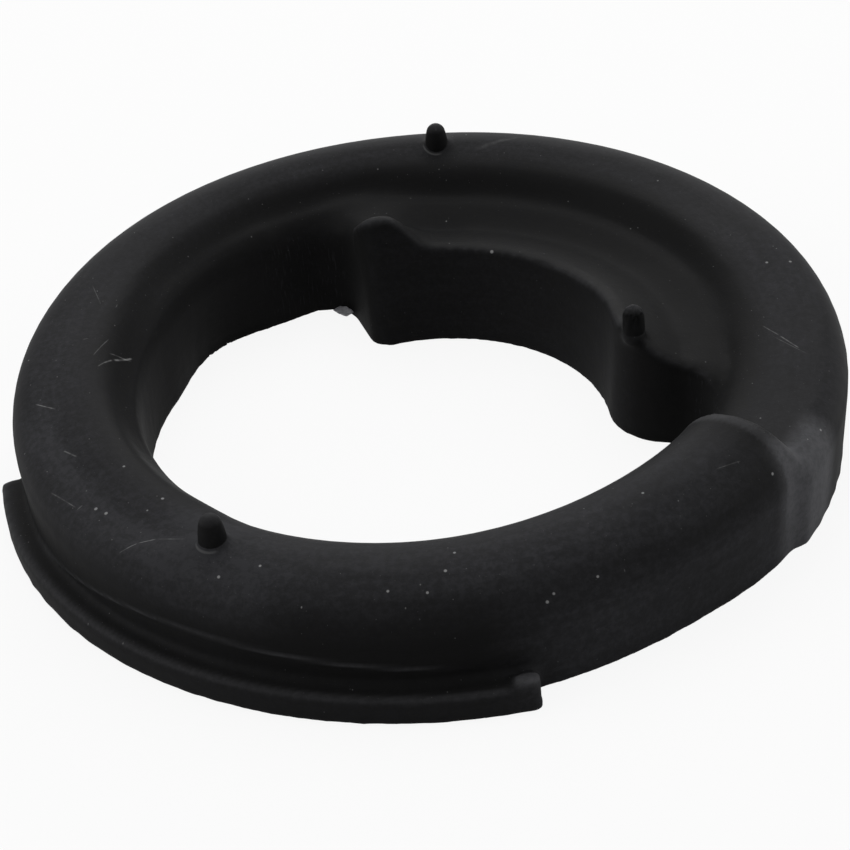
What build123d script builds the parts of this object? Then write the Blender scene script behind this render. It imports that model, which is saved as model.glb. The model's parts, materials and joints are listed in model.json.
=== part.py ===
"""Coil spring insulator: one moulded rubber ring that seats the end of a suspension coil spring.

Millimetres and degrees. The ring's axis is +Z and its flat base lies on Z = 0. Azimuth 0 is +X and
grows counter-clockwise seen from above. The coil track starts at the step, at front right, runs
counter-clockwise round the back and blends into the half-round crown at front left.
"""
from build123d import *
import os
from math import asin, atan2, cos, degrees, hypot, pi, radians, sin, tan

# Ring in plan
BORE_R = 50.8
WALL_W = 21.4
WALL_DRAFT = 0.045
OUTER_R = BORE_R + WALL_W

# Coil track: heights of its outer and inner shoulder at the step, round the back and at its end
STEP_AZ = -38.0
STEP_SPAN = 3.0
TRACK_END_AZ = 222.0
OUTER_RISE_SPAN = 129.0
INNER_RISE_SPAN = 60.0
FALL_SPAN = 115.0
TRACK_START_OUTER_H = 18.3
TRACK_START_INNER_H = 16.8
TRACK_BACK_OUTER_H = 31.0
TRACK_BACK_INNER_H = 20.8
TRACK_END_OUTER_H = 17.0
TRACK_END_INNER_H = 22.6
OUTER_START_ROUND = 5.0
OUTER_BACK_ROUND = 8.0
OUTER_END_ROUND = 5.0
INNER_START_ROUND = 9.0
INNER_BACK_ROUND = 7.5
INNER_END_ROUND = 8.8

# Crown: the half-round stretch at the front, from the track's end up to the step
BLEND_SPAN = 16.0
CROWN_START_H = 20.0
CROWN_STEP_H = 23.9
CROWN_FLAT = 0.6

# Scallop: shallow hollow in the outer wall of the crown, deepest past the flange's end
SCALLOP_START_AZ = 262.0
SCALLOP_AZ = 303.0
SCALLOP_DEPTH = 2.5
SCALLOP_STEP_DEPTH = 1.4

# Bore hollow: the foot of the bore wall is set back beside the lug's end
BORE_HOLLOW_AZ = 138.5
BORE_HOLLOW_SPAN = 40.0
BORE_HOLLOW_DEPTH = 3.0

# Share of a side that its rounds may take: both of the top's, one corner's and one root's of the lug's
ROUND_SHARE = 0.98
CORNER_SHARE = 0.6
ROOT_SHARE = 0.37

# Lug: the thick block inside the bore, with a gutter along its top and an ear near its end
LUG_R = 31.8
LUG_DRAFT = 0.05
LUG_START_AZ = -13.5
LUG_END_AZ = 106.5
LUG_START_CORNER_R = 11.0
LUG_END_CORNER_R = 4.0
LUG_START_ROOT_R = 6.0
LUG_END_ROOT_R = 8.0
LUG_OVERLAP = 5.0
ROOT_MARGIN = 0.8
ROOT_SINK = 0.3
RIM_START_H = 21.8
RIM_H = 19.6
RIM_FALL_SPAN = 60.0
RIM_W = 3.2
RIM_EDGE_R = 1.1
GUTTER_R = 44.5
GUTTER_H = 16.6
FLANK_OVERLAP = 2.0
FLANK_SINK = 0.3
ROOT_H = 13.0
ROOT_RIM_H = 2.0
START_FALL_SPAN = 7.0
END_FALL_SPAN = 12.0
FALL_LEAD = 2.5
EAR_H = 26.8
EAR_FOOT_AZ = 84.0
EAR_TOP_AZ = 99.0

# Flange: the thin rim at the foot of the front left wall, with a raised toe at its end
FLANGE_W = 3.8
FLANGE_START_REACH = 1.0
FLANGE_H = 4.8
FLANGE_START_AZ = 185.3
FLANGE_END_AZ = 279.3
FLANGE_CORNER_R = 1.4
FLANGE_OVERLAP = 5.0
TOE_SPAN = 3.0
TOE_W = 2.6
TOE_H = 1.3

# Nubs: three small pointed pips, on the back of the track, at the crown's start and on the lug
NUB_R = 2.3
NUB_NECK_R = 1.8
NUB_NECK_H = 3.3
NUB_TIP_R = 1.15
NUB_TIP_SLOPE = 25.0
NUB_H = 5.4
NUB_FOOT_R = 3.0
NUB_FOOT_H = 1.3
NUB_FOOT_SINK = 0.5
NUB_SUNK = 1.5
BACK_NUB_AZ = 84.0
BACK_NUB_INSET = 10.6
CROWN_NUB_AZ = 235.4
CROWN_NUB_INSET = 9.2
LUG_NUB_AZ = -8.7
LUG_NUB_INSET = 4.6

# Spacing of the ruled sections
RING_PITCH = 4.0
STEP_PITCH = 0.6
LUG_PITCH = 3.0


def ease(t):
    """Smooth rise from 0 to 1 with level ends."""
    t = min(max(t, 0.0), 1.0)
    return (1.0 - cos(pi * t)) / 2.0


def blend(first, second, t):
    """Sizes part of the way from a first set to a second."""
    return tuple(a + (b - a) * t for a, b in zip(first, second))


def radial_plane(azimuth):
    """Plane through the ring's axis: local X runs outward, local Y runs up."""
    a = radians(azimuth)
    return Plane(origin=(0, 0, 0), x_dir=(cos(a), sin(a), 0), z_dir=(sin(a), -cos(a), 0))


def polar(radius, azimuth, height=0.0):
    """Point at a radius, azimuth and height."""
    a = radians(azimuth)
    return (radius * cos(a), radius * sin(a), height)


def azimuths(start, end, pitch):
    """Evenly spaced azimuths from start to end, about one pitch apart."""
    count = round((end - start) / pitch)
    return [start + (end - start) * i / count for i in range(count + 1)]


def azimuths_through(start, middle, end, pitch):
    """Azimuths from start to end with one exactly at a middle one, where a nub stands."""
    return azimuths(start, middle, pitch) + azimuths(middle, end, pitch)[1:]


def round_corner(face, spot, radius):
    """Fillet the corner of a flat section that lies nearest to a spot."""
    return fillet(face.vertices().sort_by_distance(Vector(*spot))[0], radius)


def track_value(azimuth, start, back, end, rise_span):
    """Size that eases from the step to the back of the track, holds, and eases to the track's end."""
    rise = ease((azimuth - STEP_AZ) / rise_span)
    fall = ease((azimuth - TRACK_END_AZ + FALL_SPAN) / FALL_SPAN)
    return start + (back - start) * rise + (end - back) * fall


def track_shape(azimuth):
    """Section sizes of the track: outer and inner height, outer and inner round, both walls' hollows."""
    rise = OUTER_RISE_SPAN
    outer_h = track_value(azimuth, TRACK_START_OUTER_H, TRACK_BACK_OUTER_H, TRACK_END_OUTER_H, rise)
    rise_in = INNER_RISE_SPAN
    inner_h = track_value(azimuth, TRACK_START_INNER_H, TRACK_BACK_INNER_H, TRACK_END_INNER_H, rise_in)
    outer_round = track_value(azimuth, OUTER_START_ROUND, OUTER_BACK_ROUND, OUTER_END_ROUND, rise)
    inner_round = track_value(azimuth, INNER_START_ROUND, INNER_BACK_ROUND, INNER_END_ROUND, rise_in)
    bore_hollow = BORE_HOLLOW_DEPTH * (1.0 - ease(abs(azimuth - BORE_HOLLOW_AZ) / (BORE_HOLLOW_SPAN / 2.0)))
    return (outer_h, inner_h, outer_round, inner_round, 0.0, bore_hollow)


def crown_shape(azimuth):
    """Section sizes of the crown: a half-round top that rises slowly towards the step."""
    step_az = 360.0 + STEP_AZ
    t = (azimuth - TRACK_END_AZ) / (step_az - TRACK_END_AZ)
    height = CROWN_START_H + (CROWN_STEP_H - CROWN_START_H) * max(t, 0.0) ** 2
    deepening = ease((azimuth - SCALLOP_START_AZ) / (SCALLOP_AZ - SCALLOP_START_AZ))
    fading = ease((azimuth - SCALLOP_AZ) / (step_az - SCALLOP_AZ))
    hollow = SCALLOP_DEPTH * deepening - (SCALLOP_DEPTH - SCALLOP_STEP_DEPTH) * fading
    shoulder = (WALL_W - hollow - CROWN_FLAT) / 2.0
    return (height, height, shoulder, shoulder, hollow, 0.0)


def ring_shape(azimuth):
    """Section sizes anywhere on the ring, from the step's foot round to its top."""
    if azimuth < STEP_AZ + STEP_SPAN:
        step = ease((azimuth - STEP_AZ) / STEP_SPAN)
        return blend(crown_shape(360.0 + STEP_AZ), track_shape(STEP_AZ + STEP_SPAN), step)
    if azimuth < TRACK_END_AZ:
        return track_shape(azimuth)
    ending = ease((azimuth - TRACK_END_AZ) / BLEND_SPAN)
    return blend(track_shape(TRACK_END_AZ), crown_shape(azimuth), ending)


def corner_half(before, corner, after):
    """Half the angle between the two sides of a corner, in radians."""
    first = atan2(before[1] - corner[1], before[0] - corner[0])
    second = atan2(after[1] - corner[1], after[0] - corner[0])
    turn = abs(first - second) % (2.0 * pi)
    return min(turn, 2.0 * pi - turn) / 2.0


def wall_section(outer_h, inner_h, outer_round, inner_round, hollow, bore_hollow):
    """Closed section of the ring's wall; both shoulder rounds shrink together where they don't fit."""
    foot_r = OUTER_R - hollow
    bore_foot = (BORE_R + bore_hollow, 0)
    corners = [bore_foot, (foot_r, 0), (foot_r + WALL_DRAFT * outer_h, outer_h), (BORE_R, inner_h)]
    base_in, base_out, top_out, top_in = corners
    outer_reach = outer_round / tan(corner_half(base_out, top_out, top_in))
    inner_reach = inner_round / tan(corner_half(top_out, top_in, base_in))
    top_w = hypot(top_out[0] - top_in[0], top_out[1] - top_in[1])
    fits = [
        1.0,
        ROUND_SHARE * top_w / (outer_reach + inner_reach),
        ROUND_SHARE * outer_h / outer_reach,
        ROUND_SHARE * inner_h / inner_reach,
    ]
    fit = min(fits)
    face = make_face(Polyline(*corners, close=True))
    face = round_corner(face, top_out, outer_round * fit)
    return round_corner(face, top_in, inner_round * fit)


def ring_stretch(turns):
    """Stretch of the ring through the given azimuths."""
    return loft([radial_plane(a) * wall_section(*ring_shape(a)) for a in turns], ruled=True)


def top_height(body, radius, azimuth):
    """Height and upward normal of the highest surface of a body at a radius and azimuth."""
    spot = polar(radius, azimuth)
    hits = body.find_intersection_points(Axis(spot, (0, 0, 1)))
    point, normal = max(hits, key=lambda hit: hit[0].Z)
    return point, normal if normal.Z > 0 else -normal


def lug_rim_height(azimuth):
    """Height of the lug's rim without its ear."""
    return RIM_START_H + (RIM_H - RIM_START_H) * ease((azimuth - LUG_START_AZ) / RIM_FALL_SPAN)


def root_fade(azimuth):
    """How far the lug's top has come down to the height of its roots: 0 on the lug, 1 beyond its ends."""
    before = ease((LUG_START_AZ - azimuth) / START_FALL_SPAN)
    after = ease((azimuth - LUG_END_AZ + FALL_LEAD) / END_FALL_SPAN)
    return max(before, after)


def lug_section(azimuth, track):
    """Section of the lug: drafted inner face, rounded rim, gutter, and flank up to the track."""
    rim_h = lug_rim_height(azimuth)
    lift = (EAR_H - rim_h) * ease((azimuth - EAR_FOOT_AZ) / (EAR_TOP_AZ - EAR_FOOT_AZ))
    flank_r = BORE_R + FLANK_OVERLAP
    flank_h = top_height(track, flank_r, azimuth)[0].Z - FLANK_SINK
    inner_r = LUG_R - LUG_OVERLAP
    outer_r = BORE_R + 2.0 * LUG_OVERLAP
    on_lug = (rim_h + lift, GUTTER_H + lift / 2.0, flank_h)
    on_root = (ROOT_H + ROOT_RIM_H, ROOT_H, ROOT_H)
    rim_h, gutter_h, flank_h = blend(on_lug, on_root, root_fade(azimuth))
    corners = [
        (inner_r, -LUG_OVERLAP),
        (inner_r, rim_h),
        (LUG_R + RIM_W, rim_h),
        (GUTTER_R, gutter_h),
        (flank_r, flank_h),
        (outer_r, flank_h),
        (outer_r, -LUG_OVERLAP),
    ]
    face = make_face(Polyline(*corners, close=True))
    return radial_plane(azimuth) * round_corner(face, corners[2], RIM_EDGE_R)


def sector(inner_r, outer_r, start_az, end_az, start_reach=0.0):
    """Flat piece of a ring between two radii and two azimuths; it may reach further out at its start."""
    middle = (start_az + end_az) / 2.0
    start_r = outer_r + start_reach
    outer = ThreePointArc(polar(start_r, start_az), polar(outer_r, middle), polar(outer_r, end_az))
    inner = ThreePointArc(polar(inner_r, end_az), polar(inner_r, middle), polar(inner_r, start_az))
    first = Line(polar(inner_r, start_az), polar(start_r, start_az))
    last = Line(polar(outer_r, end_az), polar(inner_r, end_az))
    return make_face([first, outer, last, inner])


def root_reach(radius):
    """Degrees that a hollow root takes up along the bore, with a little to spare."""
    return degrees(asin(radius / (BORE_R - radius))) + ROOT_MARGIN


def lug_plan(height):
    """Outline of the lug at a height, with rounded corners and hollow roots at the bore."""
    inner = LUG_R + LUG_DRAFT * height
    outer = BORE_R + LUG_OVERLAP
    depth = BORE_R - inner
    start_root, end_root = (min(r, ROOT_SHARE * depth) for r in (LUG_START_ROOT_R, LUG_END_ROOT_R))
    start_corner, end_corner = (min(r, CORNER_SHARE * depth) for r in (LUG_START_CORNER_R, LUG_END_CORNER_R))
    block = sector(inner, outer, LUG_START_AZ, LUG_END_AZ)
    bore = BORE_R + ROOT_SINK
    band = sector(bore, outer, LUG_START_AZ - root_reach(start_root), LUG_END_AZ + root_reach(end_root))
    plan = (block + band).face()
    plan = round_corner(plan, polar(inner, LUG_START_AZ), start_corner)
    plan = round_corner(plan, polar(inner, LUG_END_AZ), end_corner)
    plan = round_corner(plan, polar(bore, LUG_START_AZ), start_root)
    plan = round_corner(plan, polar(bore, LUG_END_AZ), end_root)
    return Pos(0, 0, height) * plan


def lug(track):
    """Lug: its ruled form, fitted to the track, cut to the outline of its plan."""
    before = LUG_START_AZ - root_reach(LUG_START_ROOT_R) - LUG_PITCH
    after = LUG_END_AZ + root_reach(LUG_END_ROOT_R) + LUG_PITCH
    turns = azimuths_through(before, LUG_NUB_AZ, after, LUG_PITCH)
    form = loft([lug_section(azimuth, track) for azimuth in turns], ruled=True)
    block = loft([lug_plan(0.0), lug_plan(EAR_H + NUB_H)], ruled=True)
    return form & block


def flange():
    """Thin rim at the foot of the wall, wider at its start and with a raised toe at its end."""
    outer_r = OUTER_R + FLANGE_W
    reach = FLANGE_START_REACH
    plate = sector(OUTER_R - FLANGE_OVERLAP, outer_r, FLANGE_START_AZ, FLANGE_END_AZ, reach)
    plate = round_corner(plate, polar(outer_r + reach, FLANGE_START_AZ), FLANGE_CORNER_R)
    plate = round_corner(plate, polar(outer_r, FLANGE_END_AZ), FLANGE_CORNER_R)
    toe = sector(outer_r - TOE_W, outer_r, FLANGE_END_AZ - TOE_SPAN, FLANGE_END_AZ)
    for azimuth in (FLANGE_END_AZ - TOE_SPAN, FLANGE_END_AZ):
        toe = round_corner(toe, polar(outer_r, azimuth), FLANGE_CORNER_R)
    return extrude(plate, FLANGE_H) + extrude(toe, FLANGE_H + TOE_H)


def nub_post():
    """Pointed pip on its own axis: slightly tapered post, steeper shoulder and round tip."""
    slope = radians(NUB_TIP_SLOPE)
    tip_edge = (NUB_TIP_R * cos(slope), NUB_H - NUB_TIP_R * (1.0 - sin(slope)))
    outline = [
        Line((0, -NUB_SUNK), (NUB_R, -NUB_SUNK)),
        Line((NUB_R, -NUB_SUNK), (NUB_NECK_R, NUB_NECK_H)),
        Line((NUB_NECK_R, NUB_NECK_H), tip_edge),
        RadiusArc(tip_edge, (0, NUB_H), -NUB_TIP_R),
        Line((0, NUB_H), (0, -NUB_SUNK)),
    ]
    return revolve(Plane.XZ * make_face(outline), Axis.Z)


def nub_foot():
    """Low flared ring round the nub's post, which spreads it onto the surface under it."""
    core_r = NUB_NECK_R / 3.0
    outline = Polyline(
        (core_r, -NUB_SUNK),
        (NUB_FOOT_R, -NUB_SUNK),
        (NUB_FOOT_R, -NUB_FOOT_SINK),
        ((NUB_FOOT_R + NUB_R) / 2.0, NUB_FOOT_H / 4.0),
        (NUB_NECK_R, NUB_FOOT_H),
        (core_r, NUB_FOOT_H),
        close=True,
    )
    return revolve(Plane.XZ * make_face(outline), Axis.Z)


def add_nub(body, radius, azimuth, footed):
    """Fuse a pip upright onto a body; a footed one stands on a ring square to the surface."""
    point, normal = top_height(body, radius, azimuth)
    body = body + Pos(point) * nub_post()
    if footed:
        body = body + Plane(origin=point, z_dir=normal) * nub_foot()
    return body


def ring():
    """Whole insulator: step, track and crown, then the lug, the flange and the three nubs."""
    step_foot_az = STEP_AZ + STEP_SPAN
    step = ring_stretch(azimuths(STEP_AZ, step_foot_az, STEP_PITCH))
    track = ring_stretch(azimuths_through(step_foot_az, BACK_NUB_AZ, TRACK_END_AZ, RING_PITCH))
    crown = ring_stretch(azimuths_through(TRACK_END_AZ, CROWN_NUB_AZ, 360.0 + STEP_AZ, RING_PITCH))
    body = step + track + crown
    body = body + lug(body) + flange()
    body = add_nub(body, OUTER_R - BACK_NUB_INSET, BACK_NUB_AZ, True)
    body = add_nub(body, OUTER_R - CROWN_NUB_INSET, CROWN_NUB_AZ, True)
    return add_nub(body, LUG_R + LUG_NUB_INSET, LUG_NUB_AZ, False)


if __name__ == "__main__":
    os.makedirs("parts", exist_ok=True)
    export_step(ring(), "parts/spring_insulator.step")
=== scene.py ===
"""Studio view of a coil spring insulator: one moulded ring of black rubber on a pale floor."""

from __future__ import annotations

import json
import logging
import math
from dataclasses import dataclass
from enum import Enum

import bmesh
import bpy
import numpy as np
from mathutils import Matrix, Vector
from mathutils.bvhtree import BVHTree

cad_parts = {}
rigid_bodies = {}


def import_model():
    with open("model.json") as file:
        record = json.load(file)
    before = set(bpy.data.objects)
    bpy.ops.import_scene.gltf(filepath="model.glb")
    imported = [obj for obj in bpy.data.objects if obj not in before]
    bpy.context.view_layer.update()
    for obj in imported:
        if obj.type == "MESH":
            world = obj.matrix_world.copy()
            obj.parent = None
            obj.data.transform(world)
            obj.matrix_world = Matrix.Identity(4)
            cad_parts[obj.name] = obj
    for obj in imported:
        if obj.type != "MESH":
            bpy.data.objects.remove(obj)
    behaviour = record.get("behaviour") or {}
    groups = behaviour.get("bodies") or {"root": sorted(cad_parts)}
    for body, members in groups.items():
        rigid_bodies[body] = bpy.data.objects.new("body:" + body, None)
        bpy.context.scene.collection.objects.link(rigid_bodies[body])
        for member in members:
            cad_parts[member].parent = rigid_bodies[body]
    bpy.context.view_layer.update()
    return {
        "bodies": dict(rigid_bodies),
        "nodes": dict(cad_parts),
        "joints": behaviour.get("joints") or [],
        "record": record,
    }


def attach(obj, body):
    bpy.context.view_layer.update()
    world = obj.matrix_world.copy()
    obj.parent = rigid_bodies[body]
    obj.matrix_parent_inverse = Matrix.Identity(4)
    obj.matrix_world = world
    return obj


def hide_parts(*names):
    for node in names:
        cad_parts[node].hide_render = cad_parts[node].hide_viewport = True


LOG = logging.getLogger("spring_insulator")

IMAGE_PX = 850
SENSOR_MM = 36.0
MM = 0.001

# Names under which the meshes keep how pale each point is: bloom mixed with painted light and painted
# shade, and wear mixed with painted highlights
WEAR_AND_HIGHLIGHT = "wear"
BLOOM_AND_PAINTED_LIGHT = "bloom"

# Radius in millimetres and azimuth in degrees of the nubs at the back, on the crown and on the lug
NUB_PLACES = ((61.6, 84.0), (63.0, 235.4), (36.4, -8.7))


class Side(Enum):
    """Which way a studio lamp stands from the ring, as a unit-free direction."""

    ABOVE = (0.0, 0.35, 1.0)
    RIGHT = (1.0, 0.1, 0.5)
    LEFT = (-1.0, -0.1, 0.6)
    BACK = (0.1, 1.0, 0.55)


def polar(radius: float, azimuth: float, height: float = 0.0) -> Vector:
    """Point at a radius, an azimuth in degrees and a height.

    Args:
        radius: distance from the ring's axis, in metres.
        azimuth: degrees counter-clockwise from +X.
        height: metres above the base.

    Returns:
        The point as a vector.
    """
    turn = math.radians(azimuth)
    return Vector((radius * math.cos(turn), radius * math.sin(turn), height))


def ramp(values: np.ndarray, start: float, end: float) -> np.ndarray:
    """Smooth change from 0 at start to 1 at end; start may be the larger.

    Args:
        values: where it is read.
        start: value at which the result is 0.
        end: value at which the result is 1.

    Returns:
        The smoothed shares.
    """
    share = np.clip((values - start) / (end - start), 0.0, 1.0)
    return share * share * (3.0 - 2.0 * share)


def window(values: np.ndarray, low: float, high: float, soft: float) -> np.ndarray:
    """Share that is 1 between two values and fades out over a soft edge beyond them.

    Args:
        values: where it is read.
        low: lower end.
        high: upper end.
        soft: width of the fading edges.

    Returns:
        The shares.
    """
    return ramp(values, low - soft, low) * ramp(values, high + soft, high)


def linked(name: str, data: bpy.types.ID) -> bpy.types.Object:
    """Object of a mesh, a lamp or a camera, linked to the scene.

    Args:
        name: the object's name.
        data: what it shows.

    Returns:
        The object.
    """
    made = bpy.data.objects.new(name, data)
    bpy.context.scene.collection.objects.link(made)
    return made


def keep_on(mesh: bpy.types.Mesh, name: str, values: list[float] | np.ndarray) -> None:
    """Keep a number for each point on a mesh, under a name.

    Args:
        mesh: the mesh.
        name: the name that the material reads.
        values: one number for each point.
    """
    layer = mesh.attributes.new(name, "FLOAT", "POINT")
    layer.data.foreach_set("value", values)


class Value:
    """A shader socket that takes part in Python arithmetic."""

    def __init__(self, shader: Shader, socket: bpy.types.NodeSocket) -> None:
        """Hold a socket and the shader it belongs to."""
        self.shader = shader
        self.socket = socket

    def math(self, operation: str, *others: Value | float, clamp: bool = False) -> Value:
        """Apply a Math node.

        Args:
            operation: the Math node's operation.
            others: further operands.
            clamp: whether the result is held within 0 and 1.

        Returns:
            The node's result.
        """
        node = self.shader.add("ShaderNodeMath", {"operation": operation, "use_clamp": clamp}, {})
        for socket, operand in zip(node.inputs, (self, *others)):
            self.shader.feed(socket, operand)
        return Value(self.shader, node.outputs[0])

    def __add__(self, other: Value | float) -> Value:
        """Sum."""
        return self.math("ADD", other)

    __radd__ = __add__

    def __mul__(self, other: Value | float) -> Value:
        """Product."""
        return self.math("MULTIPLY", other)

    __rmul__ = __mul__

    def __sub__(self, other: Value | float) -> Value:
        """Difference."""
        return self.math("SUBTRACT", other)

    def __rsub__(self, other: float) -> Value:
        """Difference from a number."""
        return self.math("MULTIPLY", -1.0) + other

    def __truediv__(self, other: Value | float) -> Value:
        """Quotient."""
        return self.math("DIVIDE", other)

    def __abs__(self) -> Value:
        """Size without sign."""
        return self.math("ABSOLUTE")

    def held(self) -> Value:
        """Value held within 0 and 1."""
        return self.math("MULTIPLY", 1.0, clamp=True)

    def most(self, other: Value | float) -> Value:
        """Larger of two."""
        return self.math("MAXIMUM", other)

    def power(self, exponent: float) -> Value:
        """Raised to a number."""
        return self.math("POWER", exponent)

    def fade(self, start: float, end: float) -> Value:
        """Smooth change from 0 at start to 1 at end; start may be the larger.

        Args:
            start: value at which the result is 0.
            end: value at which the result is 1.

        Returns:
            The smoothed mask.
        """
        low, high = min(start, end), max(start, end)
        ends = (0.0, 1.0) if start < end else (1.0, 0.0)
        inputs = {"Value": self, "From Min": low, "From Max": high, "To Min": ends[0], "To Max": ends[1]}
        node = self.shader.add("ShaderNodeMapRange", {"interpolation_type": "SMOOTHSTEP"}, inputs)
        return Value(self.shader, node.outputs[0])


class Shader:
    """A node tree of a material or a world, with one way to add nodes."""

    def __init__(self, owner: bpy.types.Material | bpy.types.World, output: str) -> None:
        """Start an empty tree that ends in an output node.

        Args:
            owner: the material or world.
            output: type of its output node.
        """
        owner.use_nodes = True
        self.owner = owner
        self.tree = owner.node_tree
        self.tree.nodes.clear()
        self.output = self.tree.nodes.new(output)

    @classmethod
    def material(cls, name: str) -> Shader:
        """Shader of a new material."""
        return cls(bpy.data.materials.new(name), "ShaderNodeOutputMaterial")

    @classmethod
    def world(cls, name: str) -> Shader:
        """Shader of a new world."""
        return cls(bpy.data.worlds.new(name), "ShaderNodeOutputWorld")

    def finish(self, surface: bpy.types.Node) -> None:
        """Make a node's result the tree's surface."""
        self.tree.links.new(surface.outputs[0], self.output.inputs["Surface"])

    def feed(self, socket: bpy.types.NodeSocket, value: object) -> None:
        """Link a value to a socket, or write a plain one into it.

        Args:
            socket: the input to feed.
            value: a Value, an output socket, or a plain number or tuple.
        """
        if isinstance(value, Value):
            self.tree.links.new(value.socket, socket)
        elif isinstance(value, bpy.types.NodeSocket):
            self.tree.links.new(value, socket)
        else:
            socket.default_value = value

    def add(
        self, kind: str, settings: dict[str, object], inputs: dict[str | int, object]
    ) -> bpy.types.Node:
        """Add one node.

        Args:
            kind: the node's type.
            settings: node properties, set first.
            inputs: values or links by socket name or place.

        Returns:
            The new node.
        """
        node = self.tree.nodes.new(kind)
        for key, value in settings.items():
            setattr(node, key, value)
        for key, value in inputs.items():
            self.feed(node.inputs[key], value)
        return node

    def position(self) -> bpy.types.NodeSocket:
        """Place on the ring in the row's frame."""
        return self.add("ShaderNodeTexCoord", {}, {}).outputs["Object"]

    def attribute(self, name: str) -> Value:
        """Number kept on the mesh under a name."""
        settings = {"attribute_type": "GEOMETRY", "attribute_name": name}
        node = self.add("ShaderNodeAttribute", settings, {})
        return Value(self, node.outputs["Fac"])

    def split(self, vector: object) -> tuple[Value, Value, Value]:
        """Parts of a vector.

        Args:
            vector: the vector's socket.

        Returns:
            Its X, Y and Z.
        """
        node = self.add("ShaderNodeSeparateXYZ", {}, {"Vector": vector})
        x, y, z = (Value(self, output) for output in node.outputs)
        return x, y, z

    def join(self, x: object, y: object, z: object = 0.0) -> bpy.types.NodeSocket:
        """Vector from three parts.

        Args:
            x: first part.
            y: second part.
            z: third part.

        Returns:
            The vector's socket.
        """
        return self.add("ShaderNodeCombineXYZ", {}, {"X": x, "Y": y, "Z": z}).outputs[0]

    def noise(
        self, vector: object, scale: float, detail: float = 2.0, roughness: float = 0.5
    ) -> Value:
        """Noise texture's value.

        Args:
            vector: where it is read.
            scale: cycles per unit.
            detail: octaves.
            roughness: weight of the finer octaves.

        Returns:
            The noise, about 0.5 on average.
        """
        inputs = {"Vector": vector, "Scale": scale, "Detail": detail, "Roughness": roughness}
        node = self.add("ShaderNodeTexNoise", {"noise_dimensions": "3D"}, inputs)
        return Value(self, node.outputs[0])

    def specks(self, vector: object, scale: float, share: float, radius: float) -> Value:
        """Scattered flat specks: one in some of the cells of a Voronoi texture.

        Args:
            vector: where it is read, flat in its first two parts.
            scale: cells per unit.
            share: share of the cells that hold a speck.
            radius: largest speck radius, in cells.

        Returns:
            Mask of the specks.
        """
        settings = {"voronoi_dimensions": "2D", "feature": "F1"}
        node = self.add("ShaderNodeTexVoronoi", settings, {"Vector": vector, "Scale": scale})
        near = Value(self, node.outputs["Distance"])
        chance, size, _ = self.split(node.outputs["Color"])
        kept = chance.math("LESS_THAN", share)
        reach = (size * size * 0.75 + 0.25) * radius
        return (near / reach).fade(1.0, 0.55) * kept

    def mix(self, mask: object, first: object, second: object) -> bpy.types.NodeSocket:
        """Blend two colours.

        Args:
            mask: 0 gives the first, 1 the second.
            first: colour or socket.
            second: colour or socket.

        Returns:
            The blended colour.
        """
        node = self.add("ShaderNodeMix", {"data_type": "RGBA"}, {0: mask, 6: first, 7: second})
        return node.outputs[2]

    def blend(self, mask: Value, first: bpy.types.Node, second: bpy.types.Node) -> bpy.types.Node:
        """Blend two surfaces.

        Args:
            mask: 0 gives the first, 1 the second.
            first: surface node.
            second: surface node.

        Returns:
            The node that blends them.
        """
        inputs = {0: mask, 1: first.outputs[0], 2: second.outputs[0]}
        return self.add("ShaderNodeMixShader", {}, inputs)

    def bump(
        self, height: Value, distance: float, strength: float, normal: object = None
    ) -> bpy.types.NodeSocket:
        """Bump node.

        Args:
            height: height of the surface, in units of distance.
            distance: metres per unit of height.
            strength: share of the effect.
            normal: an earlier bump to build on.

        Returns:
            The bumped normal.
        """
        inputs = {"Height": height, "Distance": distance, "Strength": strength}
        if normal is not None:
            inputs["Normal"] = normal
        return self.add("ShaderNodeBump", {}, inputs).outputs[0]


def grey(level: float, blue: float = 0.0) -> tuple[float, float, float, float]:
    """Neutral colour with a touch of blue.

    Args:
        level: linear brightness.
        blue: how much bluer it is, as a share.

    Returns:
        An opaque colour.
    """
    return (level * (1.0 - 0.4 * blue), level * (1.0 - 0.3 * blue), level * (1.0 + blue), 1.0)


@dataclass(frozen=True)
class Scratch:
    """A light scratch between two places: azimuths in degrees, radii and width in millimetres."""

    start: tuple[float, float]
    end: tuple[float, float]
    width: float = 0.25
    strength: float = 0.5

    def mask(self, x: Value, y: Value) -> Value:
        """Shade the scratch.

        Args:
            x: place along X.
            y: place along Y.

        Returns:
            Mask of the scratch.
        """
        first = polar(self.start[1] * MM, self.start[0])
        way = polar(self.end[1] * MM, self.end[0]) - first
        length = way.length
        way.normalize()
        from_x, from_y = x - first.x, y - first.y
        along = from_x * way.x + from_y * way.y
        across = abs(from_y * way.x - from_x * way.y)
        reach = abs(along - length / 2.0).fade(length / 2.0, length / 3.0)
        return reach * across.fade(self.width * MM, 0.0) * self.strength


@dataclass(frozen=True)
class Speck:
    """A speck of pale dust at an azimuth in degrees and a radius in millimetres."""

    azimuth: float
    radius: float
    size: float = 0.3

    def mask(self, x: Value, y: Value, up: Value) -> Value:
        """Shade the speck, round on a slope too.

        Args:
            x: place along X.
            y: place along Y.
            up: how far the surface faces up.

        Returns:
            Mask of the speck.
        """
        at = polar(self.radius * MM, self.azimuth)
        way = polar(1.0, self.azimuth)
        off_x, off_y = x - at.x, y - at.y
        down = (off_x * way.x + off_y * way.y) / up.most(0.3)
        round_it = off_y * way.x - off_x * way.y
        edge, core = self.size * 0.9 * MM, self.size * 0.4 * MM
        return (down * down + round_it * round_it).fade(edge**2, core**2)


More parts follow.
